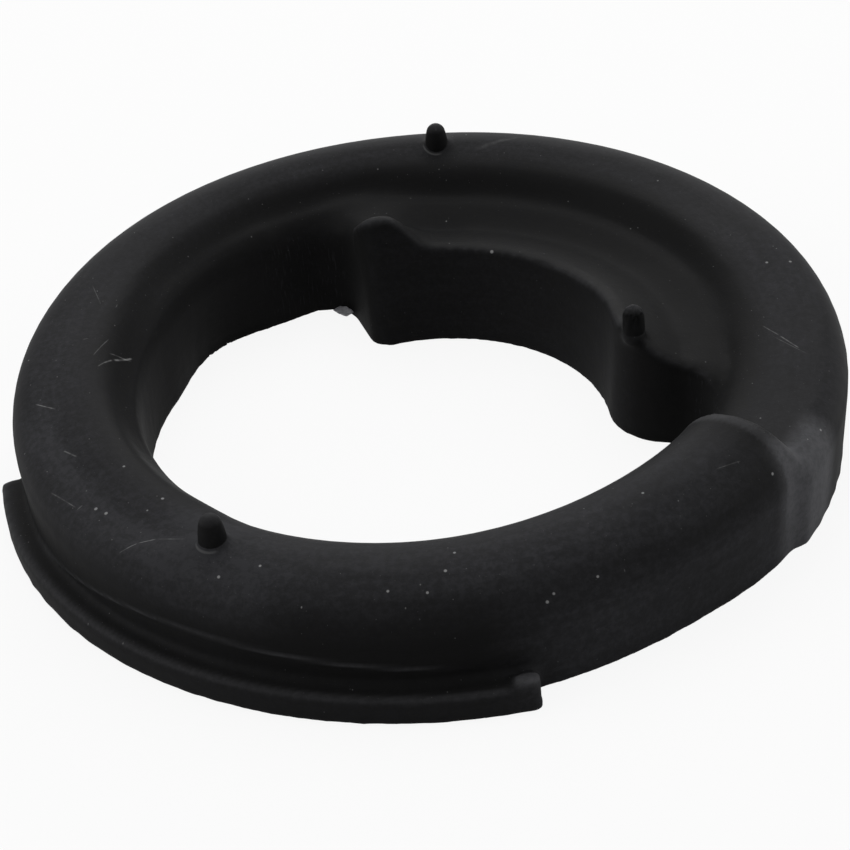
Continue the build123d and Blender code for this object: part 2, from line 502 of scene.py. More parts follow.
SCRATCHES = (
    Scratch((187, 68), (190, 64.5), 0.16, 0.6),
    Scratch((181, 57), (177, 54.8), 0.16, 0.5),
    Scratch((177, 54.8), (172, 52.5), 0.2, 0.6),
    Scratch((176, 55.5), (173, 52.5), 0.14, 0.4),
    Scratch((178, 58), (172, 56), 0.12, 0.3),
    Scratch((200, 65.5), (203, 64), 0.2, 0.5),
    Scratch((223.5, 70.5), (225, 67.8), 0.15, 0.5),
    Scratch((225, 67.8), (227, 65.8), 0.15, 0.5),
    Scratch((227, 65.8), (231, 64), 0.13, 0.35),
    Scratch((355, 58.5), (352, 61.2), 0.15, 0.35),
    Scratch((352, 61.2), (348.5, 64.5), 0.17, 0.5),
    Scratch((352, 60), (347, 66), 0.12, 0.25),
    Scratch((77, 60.5), (69, 66), 0.8, 0.10),
    Scratch((206, 70.5), (212, 69), 0.15, 0.3),
    Scratch((163, 60), (158, 64), 0.12, 0.25),
    Scratch((311, 65), (315, 66.5), 0.12, 0.25),
)

SPECKS = (
    Speck(271, 61.5, 0.3),
    Speck(269.5, 65, 0.35),
    Speck(262, 67.5, 0.3),
    Speck(267, 68),
    Speck(281.5, 70.5, 0.35),
    Speck(282.5, 70, 0.3),
    Speck(239, 68, 0.35),
    Speck(244, 65, 0.3),
    Speck(221.5, 59, 0.35),
    Speck(210.5, 59),
    Speck(318, 70, 0.35),
    Speck(288.5, 69.5, 0.3),
    Speck(300, 61.5),
    Speck(11, 63.5, 0.35),
    Speck(10, 67.5, 0.35),
    Speck(331.5, 71, 0.3),
    Speck(214.5, 67, 0.4),
    Speck(216.5, 66.5, 0.4),
    Speck(64.5, 33, 0.45),
)


@dataclass(frozen=True)
class MouldedRubber:
    """Black moulded rubber, satin, with a bluish bloom that also carries painted light and shade, pale
    worn edges with painted highlights, dust, painted crescent highlights and light scratches.
    """

    name: str = "moulded rubber"
    black: float = 0.0058
    # Bluish grey of the bloom, also laid where light is painted onto the ring
    bloom: float = 0.032
    # Paler grey of wear, also used for painted highlights
    worn_and_highlight: float = 0.085
    # Pale grey of dust and scratches, also used for painted crescent highlights
    dust_and_highlight: float = 0.30
    specular: float = 0.045
    roughness: float = 0.54
    grain: float = 2300.0
    grain_depth: float = 0.00005
    ripple: float = 240.0
    ripple_depth: float = 0.0002
    streak_depth: float = 0.0001

    def make(self) -> bpy.types.Material:
        """Build the material.

        Returns:
            The finished material.
        """
        shader = Shader.material(self.name)
        place = shader.position()
        x, y, z = shader.split(place)
        radius = (x * x + y * y).power(0.5)
        turn = y.math("ARCTAN2", x)
        facing = shader.add("ShaderNodeNewGeometry", {}, {})
        up = shader.split(facing.outputs["Normal"])[2]
        # Paleness from wear on the parting line and from painted highlights
        worn_and_highlight = shader.attribute(WEAR_AND_HIGHLIGHT)
        cloud = shader.noise(place, 38.0, 3.0, 0.6)
        fine = shader.noise(place, 900.0, 3.0, 0.7)
        streak = shader.noise(shader.join(turn * 0.4, radius * 60.0, z * 60.0), 9.0, 4.0, 0.65)
        # Bloom mixed with painted light and shade, broken up by noise
        bloom = shader.attribute(BLOOM_AND_PAINTED_LIGHT) * (cloud.fade(0.3, 0.72) * 0.4 + 0.8)
        bloom = bloom * (fine.fade(0.35, 0.7) * 0.6 + 0.7) * (streak.fade(0.3, 0.7) * 0.36 + 0.82)
        bloom = bloom + self._drawn(shader, radius, turn, z, up)
        # Black turns bluish grey where bloom and painted light lie
        colour = shader.mix(bloom.held(), grey(self.black), grey(self.bloom, 0.07))
        # Paler grey where wear and painted highlights lie
        rubbed_and_highlight = (worn_and_highlight * (fine.fade(0.3, 0.65) * 0.3 + 0.7)).held()
        colour = shader.mix(rubbed_and_highlight, colour, grey(self.worn_and_highlight, 0.05))
        # Pale grey of dust, scratches and the painted crescent highlights at the nubs' feet
        light = (self._dust_and_highlights(shader, x, y, z, turn, up) + self._scratches(shader, x, y, up)).held()
        colour = shader.mix(light, colour, grey(self.dust_and_highlight))
        rough = (fine - 0.5) * 0.14 + (cloud - 0.5) * 0.16 + self.roughness
        rough = rough + bloom * 0.08 - rubbed_and_highlight * 0.08
        rough = rough + light * 0.2 + up.fade(0.5, 0.1) * 0.16
        grain = shader.noise(place, self.grain, 2.0, 0.6)
        ripple = shader.noise(place, self.ripple, 2.0, 0.5)
        normal = shader.bump(grain, self.grain_depth, 0.5)
        normal = shader.bump(ripple, self.ripple_depth, 0.45, normal)
        normal = shader.bump(streak, self.streak_depth, 0.35, normal)
        inputs = {"Base Color": colour, "Roughness": rough, "Normal": normal}
        inputs["Specular IOR Level"] = self.specular
        shader.finish(shader.add("ShaderNodeBsdfPrincipled", {}, inputs))
        return shader.owner

    def _drawn(self, shader: Shader, radius: Value, turn: Value, z: Value, up: Value) -> Value:
        """Faint upright marks on the walls of the bore, where the mould drew off.

        Args:
            shader: the material being built.
            radius: distance from the axis.
            turn: azimuth in radians.
            z: place along Z.
            up: how far the surface faces up.

        Returns:
            Extra bloom.
        """
        along = shader.join(turn * 0.05, radius * 0.1, z * 0.12)
        lines = shader.noise(along, 3200.0, 2.0, 0.6).fade(0.56, 0.72)
        wall = up.fade(0.4, 0.15) * radius.fade(0.0525, 0.0515) * radius.fade(0.045, 0.048)
        beside_ear = abs(turn - math.radians(113.0)).fade(math.radians(16.0), math.radians(6.0))
        beside_step = abs(turn + math.radians(18.0)).fade(math.radians(15.0), math.radians(6.0))
        return lines * wall * (beside_ear + beside_step) * 0.35

    def _dust_and_highlights(self, shader: Shader, x: Value, y: Value, z: Value, turn: Value, up: Value) -> Value:
        """Specks of dust: the plain ones at their places and finer ones scattered everywhere, with
        painted crescent highlights at the feet of two nubs.

        Args:
            shader: the material being built.
            x: place along X.
            y: place along Y.
            z: place along Z.
            turn: azimuth in radians.
            up: how far the surface faces up.

        Returns:
            Mask of the dust and the painted crescents.
        """
        top = up.fade(0.25, 0.6)
        side = up.fade(0.5, 0.2)
        flat = shader.join(x, y)
        wrapped = shader.join(turn * 0.072, z)
        on_top = shader.specks(flat, 170.0, 0.2, 0.035) * 0.6
        on_top = on_top + shader.specks(flat, 420.0, 0.16, 0.06) * 0.35
        on_side = shader.specks(wrapped, 190.0, 0.08, 0.03) * 0.4
        on_side = on_side + shader.specks(wrapped, 450.0, 0.08, 0.06) * 0.2
        on_top = on_top + shader.specks(flat, 950.0, 0.22, 0.09) * 0.16
        total = on_top * top + on_side * side
        placed = SPECKS[0].mask(x, y, up)
        for speck in SPECKS[1:]:
            placed = placed + speck.mask(x, y, up)
        # Painted highlights: pale crescents at the feet of the nubs at the back and on the crown
        for radius, azimuth in NUB_PLACES[:2]:
            placed = placed + self._crescent(x, y, polar(radius * MM, azimuth))
        return total + placed * up.fade(0.1, 0.3) * 0.75

    def _crescent(self, x: Value, y: Value, axis: Vector) -> Value:
        """Painted highlight: a thin pale crescent on the front left of a nub's foot.

        Args:
            x: place along X.
            y: place along Y.
            axis: the nub's axis.

        Returns:
            Mask of the crescent.
        """
        off_x, off_y = x - axis.x, y - axis.y
        away = (off_x * off_x + off_y * off_y).power(0.5)
        front = (off_x * -0.62 + off_y * -0.78) / away.most(0.1 * MM)
        return abs(away - 2.65 * MM).fade(0.2 * MM, 0.04 * MM) * front.fade(0.45, 0.9) * 0.22

    def _scratches(self, shader: Shader, x: Value, y: Value, up: Value) -> Value:
        """Plain scratches at their places, and fine ones crowded on the left of the track.

        Args:
            shader: the material being built.
            x: place along X.
            y: place along Y.
            up: how far the surface faces up.

        Returns:
            Mask of the scratches.
        """
        fine = shader.specks(shader.join(x * 0.1, y), 330.0, 0.05, 0.05)
        for angle, scale in ((38.0, 360.0), (-28.0, 300.0), (74.0, 410.0)):
            c, s = math.cos(math.radians(angle)), math.sin(math.radians(angle))
            flat = shader.join((x * c + y * s) * 0.08, y * c - x * s)
            fine = fine + shader.specks(flat, scale, 0.05, 0.05)
        left = x.fade(-0.025, -0.045) * y.fade(-0.07, -0.04) * y.fade(0.04, 0.01)
        broken = shader.noise(shader.join(x, y), 700.0, 2.0, 0.6).fade(0.35, 0.6)
        total = fine * (left * 0.4 + 0.05)
        for scratch in SCRATCHES:
            total = total + scratch.mask(x, y) * (broken * 0.7 + 0.3)
        return total * up.fade(0.1, 0.4)


class Skin:
    """A mesh's points as numbers, with the moves that a moulded skin needs."""

    def __init__(self, mesh: bpy.types.Mesh) -> None:
        """Read the mesh's points and edges.

        Args:
            mesh: the mesh, in metres.
        """
        self.mesh = mesh
        self.count = len(mesh.vertices)
        points = np.zeros(self.count * 3)
        mesh.vertices.foreach_get("co", points)
        self.points = points.reshape(-1, 3) / MM
        edges = np.zeros(len(mesh.edges) * 2, dtype=np.int64)
        mesh.edges.foreach_get("vertices", edges)
        self.edges = edges.reshape(-1, 2)
        self.share = np.bincount(edges, minlength=self.count).astype(float)

    @property
    def azimuth(self) -> np.ndarray:
        """Azimuth of each point, 0 to 360 degrees."""
        return np.degrees(np.arctan2(self.points[:, 1], self.points[:, 0])) % 360.0

    @property
    def around(self) -> np.ndarray:
        """Azimuth of each point, -180 to 180 degrees, for what lies on both sides of +X."""
        return (self.azimuth + 180.0) % 360.0 - 180.0

    @property
    def radius(self) -> np.ndarray:
        """Distance of each point from the axis, in millimetres."""
        return np.hypot(self.points[:, 0], self.points[:, 1])

    def average(self, values: np.ndarray) -> np.ndarray:
        """Mean of each point's neighbours.

        Args:
            values: one number for each point.

        Returns:
            The means.
        """
        one, two = self.edges[:, 0], self.edges[:, 1]
        total = np.bincount(one, values[two], self.count)
        total += np.bincount(two, values[one], self.count)
        return total / self.share

    def centres(self) -> np.ndarray:
        """Mean place of each point's neighbours."""
        return np.stack([self.average(self.points[:, axis]) for axis in range(3)], axis=1)

    def blurred(self, values: np.ndarray, passes: int) -> np.ndarray:
        """Values drawn half way towards their neighbours' mean.

        Args:
            values: one number for each point.
            passes: how many times.

        Returns:
            The softened values.
        """
        for _ in range(passes):
            values = 0.5 * values + 0.5 * self.average(values)
        return values

    def relax(self, weight: np.ndarray, passes: int) -> None:
        """Draw each point towards its neighbours.

        Args:
            weight: share of the effect at each point.
            passes: how many times.
        """
        for _ in range(passes):
            self.points += 0.5 * weight[:, None] * (self.centres() - self.points)

    def normals(self) -> np.ndarray:
        """Direction that the skin faces at each point.

        Returns:
            One unit vector for each point.
        """
        self.write()
        flat = np.zeros(self.count * 3)
        self.mesh.vertex_normals.foreach_get("vector", flat)
        return flat.reshape(-1, 3)

    def write(self) -> None:
        """Put the points back into the mesh."""
        self.mesh.vertices.foreach_set("co", (self.points * MM).reshape(-1))
        self.mesh.update()

    def keep(self, name: str, values: np.ndarray) -> None:
        """Keep a number for each point on the mesh, under a name."""
        keep_on(self.mesh, name, values.astype(np.float32))


@dataclass(frozen=True)
class BloomAndPaintedLight:
    """Pale bloom of aged rubber mixed with painted light and shade: how strong it is in each zone of the
    ring, most on the seat; upward faces, the crown, the right, the left shoulder, the flange's face and
    the bore walls are painted paler, the low front right takes a painted reflection and the ledge over
    the flange painted shade.
    """

    everywhere: float = 0.04
    upward: float = 0.03
    seat: float = 0.42
    left: float = 0.10
    right: float = 0.06
    crown: float = 0.56
    flange: float = 0.06
    low_right: float = 0.64
    shoulder: float = 0.3
    bore: float = 0.06
    lug: float = 0.09
    ledge: float = 0.9
    passes: int = 3

    def lay(self, skin: Skin) -> None:
        """Keep on the mesh how strong the bloom and the painted light are at each point.

        Args:
            skin: the ring's skin.
        """
        azimuth, around, radius, height = skin.azimuth, skin.around, skin.radius, skin.points[:, 2]
        facing = skin.normals()
        # Painted light: faces that turn up are painted paler, as if lit from above
        up = ramp(facing[:, 2], 0.1, 0.9)
        inward = -(facing[:, 0] * skin.points[:, 0] + facing[:, 1] * skin.points[:, 1]) / radius
        track = np.maximum(ramp(around, -37.0, -35.0), ramp(azimuth, 262.0, 222.0))
        seat = ramp(radius, 56.0, 61.0)
        left = window(azimuth, 140.0, 226.0, 18.0) * window(radius, 56.0, 66.0, 6.0)
        # Painted highlight: the track on the right painted paler, less near the step
        right = window(around, -34.0, 20.0, 16.0) * ramp(radius, 52.0, 60.0)
        right -= 2.0 * window(around, -36.0, -18.0, 8.0) * seat * ramp(radius, 71.0, 67.0)
        # Painted light: the top of the crown painted paler, less over the gutter
        crown = ramp(radius, 74.0, 66.0) - 0.5 * window(radius, 40.0, 55.0, 3.0)
        crown *= window(azimuth, 236.0, 308.0, 16.0)
        # Painted reflection: the lower outer wall on the front right painted paler
        low_right = window(azimuth, 285.0, 325.0, 14.0) * ramp(radius, 66.0, 71.5)
        low_right *= ramp(height, 19.0, 12.0)
        # Painted light: the flange's outer face painted paler
        flange = ramp(radius, 74.7, 75.4) * ramp(height, 5.4, 4.9)
        # Painted highlight: the outer shoulder on the left painted paler
        shoulder = window(azimuth, 196.0, 240.0, 12.0) * window(radius, 66.0, 72.4, 2.0)
        shoulder *= ramp(height, 11.0, 14.0)
        # Painted shade: the ledge over the flange, under the overhanging wall, keeps almost none of the
        # paleness
        ledge = ramp(radius, 72.6, 73.4) * (1.0 - flange)
        seat = seat * (0.6 + 0.4 * ramp(radius, 73.0, 67.0))
        # Painted light: bore walls that face inward, the lug's more, painted paler
        wall = ramp(inward, 0.4, 0.8) * ramp(radius, 53.0, 51.5)
        wall *= self.bore + self.lug * ramp(radius, 44.0, 38.0)
        # Sum of the bloom and of the painted light and shade of each zone
        level = self.upward + self.seat * seat * track + self.left * left + self.right * right
        bloom = up * level + np.sqrt(up) * self.crown * crown
        bloom += self.flange * flange + self.low_right * low_right + self.shoulder * shoulder + wall
        bloom = bloom * (1.0 - self.ledge * ledge) + self.everywhere
        skin.keep(BLOOM_AND_PAINTED_LIGHT, np.clip(skin.blurred(bloom, self.passes), 0.0, 1.0))


@dataclass(frozen=True)
class WearAndHighlight:
    """Paleness of rubbed rubber on the parting line, and painted highlights: crests, the step's rim and
    foot, the right wall, the flange's face, the toe, the left shoulder and a painted glint low on the
    front right.
    """

    crest: float = 0.38
    crest_passes: int = 2
    step: float = 0.35
    foot: float = 0.86
    right: float = 0.08
    parting: float = 0.3
    patch: float = 0.4
    flange: float = 0.05
    toe: float = 0.4
    shoulder: float = 0.05

    def lay(self, skin: Skin, line: np.ndarray) -> None:
        """Keep on the mesh how pale each point is, from wear on the parting line and from painted
        highlights elsewhere.

        Args:
            skin: the ring's skin.
            line: height of the parting line at each point's azimuth.
        """
        azimuth, around, radius, height = skin.azimuth, skin.around, skin.radius, skin.points[:, 2]
        # Painted highlight: convex crests painted paler
        crest = ((skin.points - skin.centres()) * skin.normals()).sum(axis=1)
        crest = ramp(skin.blurred(crest, self.crest_passes), 0.025, 0.10) * ramp(height, 3.0, 4.5)
        # Painted highlight: a thin pale rim along the step's edge
        step = window(around, -39.6, -38.6, 0.7) * ramp(height, 6.0, 12.0)
        step *= ramp(radius, 49.0, 53.0)
        # Painted highlight: the step's foot painted pale
        foot = window(around, -37.5, -30.0, 5.0) * ramp(radius, 66.0, 70.0)
        # Painted light: the outer wall on the right painted paler
        right = window(around, -36.0, 12.0, 12.0) * ramp(radius, 69.0, 72.0)
        parting = window(azimuth, 208.0, 262.0, 10.0) * ramp(radius, 71.5, 72.2)
        parting *= ramp(radius, 74.5, 74.0)
        parting *= np.exp(-(((height - line - 0.4) / 0.4) ** 2))
        # Painted light: the flange's outer face painted paler
        flange = ramp(radius, 74.6, 75.4) * ramp(height, 5.6, 5.0)
        # Painted highlight: the raised toe at the flange's end painted pale
        toe = ramp(radius, 73.0, 74.0) * ramp(height, 4.9, 5.6) * window(azimuth, 275.5, 279.5, 0.9)
        # Painted highlight: the outer shoulder on the left painted paler
        shoulder = window(azimuth, 196.0, 236.0, 14.0) * window(radius, 67.0, 71.5, 2.5)
        # Painted glint: a small pale patch at the foot of the front right wall
        patch = window(around, -66.5, -62.5, 1.5) * ramp(radius, 70.0, 70.6)
        patch *= ramp(height, 3.2, 1.8)
        worn_and_highlight = self.crest * crest + self.step * step + self.foot * foot + self.right * right
        worn_and_highlight += self.parting * parting + self.patch * patch
        worn_and_highlight += self.flange * flange + self.toe * toe + self.shoulder * shoulder
        skin.keep(WEAR_AND_HIGHLIGHT, np.clip(worn_and_highlight, 0.0, 1.0))


@dataclass
class MouldedRing:
    """The ring itself: the solid's form, softened and a little uneven, in millimetres."""

    node: str = "spring_insulator"
    voxel: float = 0.7
    weld: float = 0.02
    soft_passes: int = 4
    gutter_passes: int = 26
    corner_passes: int = 90
    ridge_lift: float = 0.95
    inner_drop: float = 0.9
    line_step: float = 0.22
    foot_wave: float = 0.05
    foot_height: float = 1.2
    nub_stub: float = 2.2
    foot_round: float = 0.45
    foot_reach: float = 0.75
    foot_probe: float = 1.6
    bloom: BloomAndPaintedLight = BloomAndPaintedLight()
    wear: WearAndHighlight = WearAndHighlight()

    def build(self, frame: dict, rubber: bpy.types.Material) -> bpy.types.Object:
        """Make the ring's mesh from the solid, dress it and stand it in for the solid.

        Args:
            frame: the loaded frame.
            rubber: the ring's material.

        Returns:
            The dressed ring.
        """
        raw = frame["nodes"][self.node].data.copy()
        corners = [vertex.co / MM for vertex in raw.vertices]
        walls = BVHTree.FromPolygons(corners, [polygon.vertices for polygon in raw.polygons])
        mesh = self._even_mesh(raw)
        skin = Skin(mesh)
        self._lower_nubs(skin)
        self._soften(skin)
        self._shape_track(skin)
        self._part_line(skin)
        self._settle(skin, walls)
        self.bloom.lay(skin)
        self.wear.lay(skin, self._line_height(skin.azimuth))
        skin.write()
        mesh.polygons.foreach_set("use_smooth", [True] * len(mesh.polygons))
        ring = linked("moulded_ring", mesh)
        mesh.materials.clear()
        mesh.materials.append(rubber)
        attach(ring, "root")
        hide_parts(self.node)
        return ring

    def _even_mesh(self, raw: bpy.types.Mesh) -> bpy.types.Mesh:
        """Join the solid's faces and cover them with even squares.

        Args:
            raw: copy of the solid's mesh.

        Returns:
            The even mesh.
        """
        work = bmesh.new()
        work.from_mesh(raw)
        bmesh.ops.remove_doubles(work, verts=work.verts, dist=self.weld * MM)
        work.to_mesh(raw)
        work.free()
        rough = linked("ring raw", raw)
        remesh = rough.modifiers.new("even skin", "REMESH")
        remesh.mode = "VOXEL"
        remesh.voxel_size = self.voxel * MM
        evaluated = rough.evaluated_get(bpy.context.evaluated_depsgraph_get())
        mesh = bpy.data.meshes.new_from_object(evaluated)
        mesh.name = "moulded_ring"
        bpy.data.objects.remove(rough)
        return mesh

    def _lower_nubs(self, skin: Skin) -> None:
        """Lower the tops of the solid's nubs and keep their feet; finer nubs stand over them.

        Args:
            skin: the ring's skin.
        """
        upper = skin.normals()[:, 2] > 0.7
        for radius, azimuth in NUB_PLACES:
            axis = np.array(polar(radius, azimuth).xy)
            away = np.hypot(*(skin.points[:, :2] - axis).T)
            near = (away > 3.6) & (away < 5.0) & upper & (skin.points[:, 2] > 10.0)
            limit = np.median(skin.points[near, 2]) + self.nub_stub
            nub = (away < 3.0) & (skin.points[:, 2] > limit)
            skin.points[nub, 2] = limit

    def _soften(self, skin: Skin) -> None:
        """Round the edges: a little everywhere, more in the gutter, most in the ear's corner.

        Args:
            skin: the ring's skin.
        """
        azimuth, around, radius, height = skin.azimuth, skin.around, skin.radius, skin.points[:, 2]
        skin.relax(np.ones(skin.count), self.soft_passes)
        gutter = window(around, 0.0, 74.0, 6.0) * window(radius, 39.5, 55.0, 2.0)
        gutter *= ramp(height, 11.0, 14.0)
        skin.relax(gutter, self.gutter_passes)
        corner = window(azimuth, 101.0, 119.0, 4.0) * window(radius, 42.0, 55.0, 2.0)
        corner *= ramp(height, 6.0, 12.0)
        skin.relax(corner, self.corner_passes)

    def _shape_track(self, skin: Skin) -> None:
        """Lift the track's ridge and sink the slope inside it, where the track is wide.

        Args:
            skin: the ring's skin.
        """
        azimuth, radius = skin.azimuth, skin.radius
        facing = skin.normals()[:, 2]
        span = window(azimuth, 30.0, 200.0, 30.0)
        ridge_r = 57.0 + 2.0 * window(azimuth, 105.0, 145.0, 25.0)
        outer = ramp(radius, ridge_r + 13.0, ridge_r)
        inner = ramp(radius, ridge_r - 3.6, ridge_r)
        lift = np.where(radius > ridge_r, outer, inner)
        sink = window(radius, ridge_r - 4.4, ridge_r - 4.2, 2.6)
        share = span * ramp(facing, 0.2, 0.55)
        skin.points[:, 2] += share * (self.ridge_lift * lift - self.inner_drop * sink)
        ring_zone = window(radius, 48.0, 66.0, 3.0) * share
        skin.relax(ring_zone, 3)

    def _line_height(self, azimuth: np.ndarray) -> np.ndarray:
        """Height of the mould's parting line at each azimuth."""
        return 5.0 + 4.5 * ramp(azimuth, 200.0, 234.0) - 3.4 * ramp(azimuth, 236.0, 290.0)

    def _part_line(self, skin: Skin) -> None:
        """Recess the outer wall between the flange and the mould's parting line.

        Args:
            skin: the ring's skin.
        """
        azimuth, radius, height = skin.azimuth, skin.radius, skin.points[:, 2]
        outward = np.hypot(*skin.normals()[:, :2].T)
        line = self._line_height(azimuth)
        share = window(azimuth, 205.0, 266.0, 16.0) * window(radius, 71.0, 74.4, 0.4)
        share *= ramp(outward, 0.6, 0.9)
        share *= ramp(height, 4.3, 4.9)
        below = ramp(height, line + 0.35, line - 0.35)
        bead = np.exp(-(((height - line - 0.4) / 0.45) ** 2))
        move = share * (0.14 * bead - self.line_step * below)
        turn = np.radians(azimuth)
        skin.points[:, 0] += np.cos(turn) * move
        skin.points[:, 1] += np.sin(turn) * move

    def _settle(self, skin: Skin, walls: BVHTree) -> None:
        """Draw the foot of the walls to a clean, slightly uneven edge and keep the base flat.

        Args:
            skin: the ring's skin.
            walls: the solid's surface, in millimetres.
        """
        random = np.random.default_rng(7)
        waves = [(random.integers(12, 110), random.uniform(0.0, 6.3)) for _ in range(12)]
        low = np.nonzero(skin.points[:, 2] < self.foot_height)[0]
        for index in low:
            x, y, height = skin.points[index]
            place, normal, _, _ = walls.find_nearest(Vector((x, y, self.foot_probe)))
            gap = math.hypot(place.x - x, place.y - y)
            if gap > self.foot_reach or abs(normal.z) > 0.5:
                continue
            out = Vector((normal.x, normal.y)).normalized()
            lowered = max(self.foot_round - max(height, 0.0), 0.0)
            inset = self.foot_round - math.sqrt(max(self.foot_round**2 - lowered**2, 0.0))
            turn = math.atan2(place.y, place.x)
            wave = sum(math.sin(turn * cycles + phase) for cycles, phase in waves)
            wave *= self.foot_wave / math.sqrt(len(waves))
            shift = wave * (1.0 - max(height, 0.0) / self.foot_height) - 0.4 * inset
            skin.points[index, 0] = place.x + out.x * shift
            skin.points[index, 1] = place.y + out.y * shift
        skin.points[:, 2] = np.maximum(skin.points[:, 2], 0.0)


@dataclass
class Nub:
    """Blunt moulding nub that tapers a little to a round tip, in millimetres; torn is a share."""

    name: str
    place: tuple[float, float]
    foot_r: float = 2.3
    foot_h: float = 0.7
    waist_r: float = 2.12
    waist_h: float = 2.4
    tip_r: float = 1.85
    height: float = 5.4
    sunk: float = 0.9
    torn: float = 0.0
    torn_side: float = 258.0
    bloom: float = 0.12
    sides: int = 48
    dome_steps: int = 12

    def build(self, frame: dict, rubber: bpy.types.Material) -> bpy.types.Object:
        """Turn the nub and stand it where the solid has its own, up to the same height.

        Args:
            frame: the loaded frame.
            rubber: the nub's material.

        Returns:
            The nub.
        """
        axis = polar(self.place[0] * MM, self.place[1])
        solid = frame["nodes"]["spring_insulator"]
        top = max(v.co.z for v in solid.data.vertices if (v.co.xy - axis.xy).length < 1.3 * MM) / MM
        foot = top - self.height
        profile = self._profile()
        random = np.random.default_rng(int(self.place[0] * 10))
        ragged = random.uniform(-1.0, 1.0, (len(profile), self.sides))
        points: list[tuple[float, float, float]] = []
        for ring, (out, rise) in enumerate(profile):
            for side in range(self.sides):
                turn = 2.0 * math.pi * side / self.sides
                reach, high = self._tear(out, rise, turn, ragged[ring, side])
                east, north = reach * math.cos(turn) * MM, reach * math.sin(turn) * MM
                points.append((axis.x + east, axis.y + north, (foot + high) * MM))
        mesh = bpy.data.meshes.new(self.name)
        mesh.from_pydata(points, [], self._faces(len(profile)))
        mesh.polygons.foreach_set("use_smooth", [True] * len(mesh.polygons))
        rises = [point[2] / MM - foot for point in points]
        keep_on(mesh, WEAR_AND_HIGHLIGHT, [self._tip_paleness(rise) for rise in rises])
        keep_on(mesh, BLOOM_AND_PAINTED_LIGHT, [self.bloom] * len(points))
        nub = linked(self.name, mesh)
        mesh.materials.append(rubber)
        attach(nub, "root")
        return nub

    def _profile(self) -> list[tuple[float, float]]:
        """Outline from the sunk foot to the tip.

        Returns:
            Pairs of distance from the axis and height above the foot.
        """
        straight = self.height - self.tip_r
        outline = [(self.foot_r - 0.3, -self.sunk), (self.foot_r, self.foot_h)]
        outline += [(self.waist_r, self.waist_h), (self.tip_r * 1.03, straight)]
        for step in range(1, self.dome_steps):
            angle = math.pi / 2.0 * step / self.dome_steps
            outline.append((self.tip_r * math.cos(angle), straight + self.tip_r * math.sin(angle)))
        return outline

    def _faces(self, rings: int) -> list[tuple[int, ...]]:
        """Faces between the outline's rings, closed at both ends.

        Args:
            rings: how many rings of points there are.

        Returns:
            The faces.
        """
        faces: list[tuple[int, ...]] = [tuple(reversed(range(self.sides)))]
        for ring in range(rings - 1):
            base = ring * self.sides
            for side in range(self.sides):
                after = (side + 1) % self.sides
                near, far = base + side, base + after
                faces.append((near, far, far + self.sides, near + self.sides))
        faces.append(tuple(range((rings - 1) * self.sides, rings * self.sides)))
        return faces

    def _tear(self, out: float, rise: float, turn: float, ragged: float) -> tuple[float, float]:
        """Roughen a torn nub: a hollow on the side that faces the front and a ragged edge.

        Args:
            out: distance from the axis.
            rise: height above the foot.
            turn: direction round the axis, in radians.
            ragged: a random number from -1 to 1.

        Returns:
            The changed distance and height.
        """
        share = self.torn * min(max((rise - 1.0) / 2.0, 0.0), 1.0)
        front = max(math.cos(turn - math.radians(self.torn_side)), 0.0) ** 2
        narrower = share * (0.30 * front + 0.10 * ragged)
        lower = share * (0.25 * front + 0.16 * abs(ragged))
        return out * (1.0 - narrower), rise - lower

    def _tip_paleness(self, rise: float) -> float:
        """How much paler the nub is at a height above its foot, more on a torn nub."""
        return min(max((rise - 4.0) / 1.2, 0.0), 1.0) * (0.22 + 0.25 * self.torn)


@dataclass
class Flash:
    """Thin fin of flash left at the foot of the corner beside the ear, in millimetres, painted pale all
    over as a glint.
    """

    name: str = "flash_fin"
    start: tuple[float, float] = (48.3, 110.8)
    end: tuple[float, float] = (44.6, 109.0)
    rise: float = 0.9
    width: float = 0.3
    held: float = 2.4
    height: float = 0.7
    rows: int = 9

    def build(self, rubber: bpy.types.Material) -> bpy.types.Object:
        """Lay the fin along the foot, from its start to its end.

        Args:
            rubber: the fin's material.

        Returns:
            The fin.
        """
        start, end = polar(self.start[0] * MM, self.start[1]), polar(self.end[0] * MM, self.end[1])
        across = (end - start).cross(Vector((0.0, 0.0, 1.0))).normalized()
        points: list[Vector] = []
        for row in range(self.rows):
            share = row / (self.rows - 1)
            swell = math.sin(math.pi * share) ** 0.7 * (0.8 + 0.2 * math.sin(share * 17.0)) + 0.05
            middle = start.lerp(end, share) + Vector((0.0, 0.0, self.rise * MM))
            free = middle + across * self.width * swell * MM
            held = middle - across * self.held * MM
            top = Vector((0.0, 0.0, self.height * swell * MM))
            points += [free, free + 0.3 * top, held + top, held]
        faces: list[tuple[int, ...]] = [(0, 1, 2, 3)]
        for row in range(self.rows - 1):
            base = row * 4
            for corner in range(4):
                near, far = base + corner, base + (corner + 1) % 4
                faces.append((near, near + 4, far + 4, far))
        last = (self.rows - 1) * 4
        faces.append((last + 3, last + 2, last + 1, last))
        mesh = bpy.data.meshes.new(self.name)
        mesh.from_pydata(points, [], faces)
        # Painted glint: the whole fin takes full paleness
        for name in (WEAR_AND_HIGHLIGHT, BLOOM_AND_PAINTED_LIGHT):
            keep_on(mesh, name, [1.0] * len(points))
        fin = linked(self.name, mesh)
        mesh.materials.append(rubber)
        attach(fin, "root")
        return fin


